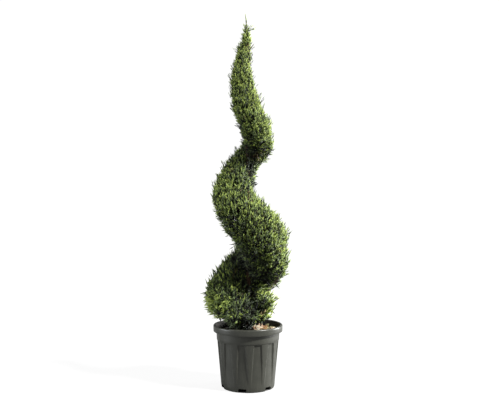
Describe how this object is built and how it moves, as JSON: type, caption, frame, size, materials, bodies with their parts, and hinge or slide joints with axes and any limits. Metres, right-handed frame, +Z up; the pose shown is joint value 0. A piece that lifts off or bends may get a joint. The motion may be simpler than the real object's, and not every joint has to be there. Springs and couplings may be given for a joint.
{
  "type": "spiral topiary in a nursery pot",
  "caption": "Slender conifer clipped to a left-handed spiral round one straight trunk, growing in a round dark grey plastic nursery pot with a rolled rim.",
  "frame": {"origin": "centre of the pot's flat underside", "axes": "+Z up along the trunk, -Y to the front, +X to the right seen from the front"},
  "size_m": [0.3906, 0.3656, 1.627],
  "materials": {
    "nursery_pot": "matte",
    "potting_soil": "matte",
    "bark": "matte",
    "foliage": "matte",
    "bark_chips": "matte"
  },
  "bodies": {
    "root": {"pot": "nursery_pot", "potting_soil": "potting_soil", "trunk": "bark", "bough_1": "bark", "foliage_1": "foliage", "bough_2": "bark", "foliage_2": "foliage", "bough_3": "bark", "foliage_3": "foliage", "bough_4": "bark", "foliage_4": "foliage", "bough_5": "bark", "foliage_5": "foliage", "bough_6": "bark", "foliage_6": "foliage", "bough_7": "bark", "foliage_7": "foliage", "bough_8": "bark", "foliage_8": "foliage", "bough_9": "bark", "foliage_9": "foliage", "foliage_leader": "foliage", "bark_chip_1": "bark_chips", "bark_chip_2": "bark_chips", "bark_chip_3": "bark_chips", "bark_chip_4": "bark_chips", "bark_chip_5": "bark_chips", "bark_chip_6": "bark_chips", "bark_chip_7": "bark_chips", "bark_chip_8": "bark_chips", "bark_chip_9": "bark_chips"}
  },
  "joints": []
}
